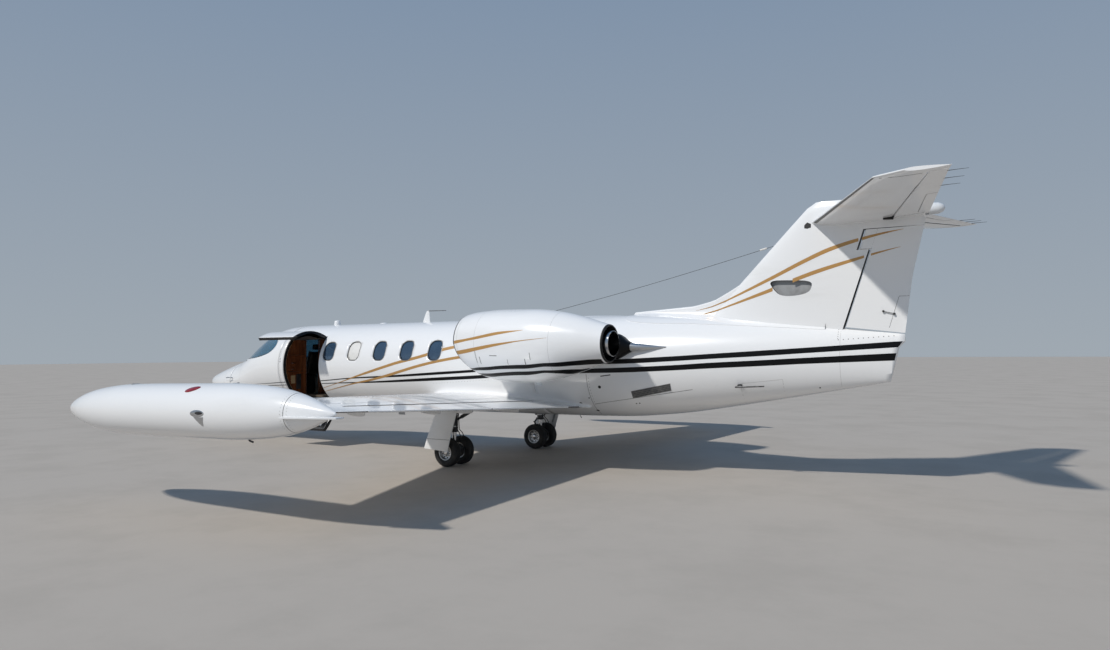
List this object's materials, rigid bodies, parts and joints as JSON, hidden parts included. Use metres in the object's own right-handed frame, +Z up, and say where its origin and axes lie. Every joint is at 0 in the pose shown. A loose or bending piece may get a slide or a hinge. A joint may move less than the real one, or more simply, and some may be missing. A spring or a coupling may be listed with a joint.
{
  "type": "business jet",
  "caption": "Light twin-engine business jet with tip tanks, swept T-tail, rear nacelles and an open clamshell door, standing on its gear.",
  "frame": {"origin": "centre of the whole jet's plan outline, on the ground under its tyres", "axes": "+X towards the nose, +Y to port, +Z up"},
  "size_m": [14.83, 12.04, 3.76],
  "materials": {
    "white_paint": "gloss white with black and gold stripes",
    "glazing": "blue tinted",
    "carpet": "cut pile",
    "cabinet_wood": "gloss veneer",
    "panel_plastic": "matt",
    "seat_leather": "soft satin",
    "engine_metal": "heat-darkened",
    "bare_aluminium": "satin",
    "tyre_rubber": "matt"
  },
  "bodies": {
    "airframe": {"nose_cone": "white_paint", "cockpit_shell": "white_paint", "cabin_shell": "white_paint", "tail_section": "white_paint", "windscreen_left": "glazing", "windscreen_right": "glazing", "cabin_windows_left": "glazing", "cabin_windows_right": "glazing", "cabin_floor": "carpet", "cockpit_partition": "cabinet_wood", "instrument_panel": "panel_plastic", "cockpit_seat_left": "seat_leather", "cockpit_seat_right": "seat_leather", "cabin_seats_left": "seat_leather", "cabin_seats_right": "seat_leather", "wing_left": "white_paint", "wing_right": "white_paint", "tip_tank_left": "white_paint", "tip_tank_right": "white_paint", "nacelle_left": "white_paint", "nacelle_right": "white_paint", "pylon_left": "white_paint", "pylon_right": "white_paint", "engine_core_left": "engine_metal", "engine_core_right": "engine_metal", "fin": "white_paint", "tailplane": "white_paint", "nose_gear_leg": "bare_aluminium", "nose_gear_door_left": "white_paint", "nose_gear_door_right": "white_paint", "main_leg_left": "white_paint", "main_leg_right": "white_paint", "main_leg_door_left": "white_paint", "main_leg_door_right": "white_paint", "wire_aerial": "panel_plastic", "blade_aerial": "panel_plastic", "beacon": "panel_plastic"},
    "upper_door": {"door_upper": "white_paint"},
    "lower_door": {"door_lower": "white_paint"},
    "nose_steering": {"nose_fork": "bare_aluminium"},
    "nose_wheel_set": {"nose_wheel": "bare_aluminium", "nose_tyre": "tyre_rubber"},
    "main_wheels_port": {"main_wheels_left": "bare_aluminium", "main_tyre_left_outer": "tyre_rubber", "main_tyre_left_inner": "tyre_rubber"},
    "main_wheels_starboard": {"main_wheels_right": "bare_aluminium", "main_tyre_right_outer": "tyre_rubber", "main_tyre_right_inner": "tyre_rubber"},
    "fan_port": {"fan_left": "bare_aluminium"},
    "fan_starboard": {"fan_right": "bare_aluminium"},
    "rudder": {"rudder": "white_paint"},
    "elevator_port": {"elevator_left": "white_paint"},
    "elevator_starboard": {"elevator_right": "white_paint"},
    "aileron_port": {"aileron_left": "white_paint"},
    "aileron_starboard": {"aileron_right": "white_paint"},
    "flap_port": {"flap_left": "white_paint"},
    "flap_starboard": {"flap_right": "white_paint"},
    "spoiler_port": {"spoiler_left": "white_paint"},
    "spoiler_starboard": {"spoiler_right": "white_paint"}
  },
  "joints": [
    {"name": "upper_door_hinge", "type": "hinge", "parent": "airframe", "child": "upper_door", "pos_m": [4.185, 0.56621, 2.05357], "axis": [1, 0, 0], "range_deg": [-76.6, 0]},
    {"name": "lower_door_hinge", "type": "hinge", "parent": "airframe", "child": "lower_door", "pos_m": [4.185, 0.35803, 0.82928], "axis": [1, 0, 0], "range_deg": [0, 113.7]},
    {"name": "nose_steer", "type": "hinge", "parent": "airframe", "child": "nose_steering", "pos_m": [5.815, 0, 0.6], "axis": [0, 0, 1], "range_deg": [-50, 50]},
    {"name": "nose_wheel_spin", "type": "hinge", "parent": "nose_steering", "child": "nose_wheel_set", "pos_m": [5.815, 0, 0.229], "axis": [0, 1, 0], "continuous": true},
    {"name": "main_wheels_port_spin", "type": "hinge", "parent": "airframe", "child": "main_wheels_port", "pos_m": [-0.335, 1.255, 0.222], "axis": [0, 1, 0], "continuous": true},
    {"name": "main_wheels_starboard_spin", "type": "hinge", "parent": "airframe", "child": "main_wheels_starboard", "pos_m": [-0.335, -1.255, 0.222], "axis": [0, 1, 0], "continuous": true},
    {"name": "fan_port_spin", "type": "hinge", "parent": "airframe", "child": "fan_port", "pos_m": [-1.15681, 1.32, 1.91585], "axis": [0.9996, 0, 0.0276], "continuous": true},
    {"name": "fan_starboard_spin", "type": "hinge", "parent": "airframe", "child": "fan_starboard", "pos_m": [-1.15681, -1.32, 1.91585], "axis": [0.9996, 0, 0.0276], "continuous": true},
    {"name": "rudder_hinge", "type": "hinge", "parent": "airframe", "child": "rudder", "pos_m": [-6.375, 0, 3.33], "axis": [-0.3141, 0, 0.9494], "range_deg": [-30, 30]},
    {"name": "elevator_port_hinge", "type": "hinge", "parent": "airframe", "child": "elevator_port", "pos_m": [-7.195, 2.09, 3.59189], "axis": [-0.3028, 0.9516, 0.0532], "range_deg": [-15, 15]},
    {"name": "elevator_starboard_hinge", "type": "hinge", "parent": "airframe", "child": "elevator_starboard", "pos_m": [-7.195, -2.09, 3.59189], "axis": [0.3028, 0.9516, -0.0532], "range_deg": [-15, 15]},
    {"name": "aileron_port_hinge", "type": "hinge", "parent": "airframe", "child": "aileron_port", "pos_m": [-1.96049, 5.12, 1.17653], "axis": [-0.0961, 0.9939, 0.0543], "range_deg": [-18, 18]},
    {"name": "aileron_starboard_hinge", "type": "hinge", "parent": "airframe", "child": "aileron_starboard", "pos_m": [-1.96049, -5.12, 1.17653], "axis": [0.0961, 0.9939, -0.0543], "range_deg": [-18, 18]},
    {"name": "flap_port_hinge", "type": "hinge", "parent": "airframe", "child": "flap_port", "pos_m": [-1.55252, 0.9, 0.91048], "axis": [0.0961, -0.9937, -0.058], "range_deg": [0, 40]},
    {"name": "flap_starboard_hinge", "type": "hinge", "parent": "airframe", "child": "flap_starboard", "pos_m": [-1.55252, -0.9, 0.91048], "axis": [-0.0961, -0.9937, 0.058], "range_deg": [0, 40]},
    {"name": "spoiler_port_hinge", "type": "hinge", "parent": "airframe", "child": "spoiler_port", "pos_m": [-1.34538, 1.55, 1.06092], "axis": [-0.1248, 0.9912, 0.0444], "range_deg": [0, 40]},
    {"name": "spoiler_starboard_hinge", "type": "hinge", "parent": "airframe", "child": "spoiler_starboard", "pos_m": [-1.34538, -1.55, 1.06092], "axis": [0.1248, 0.9912, -0.0444], "range_deg": [0, 40]}
  ]
}
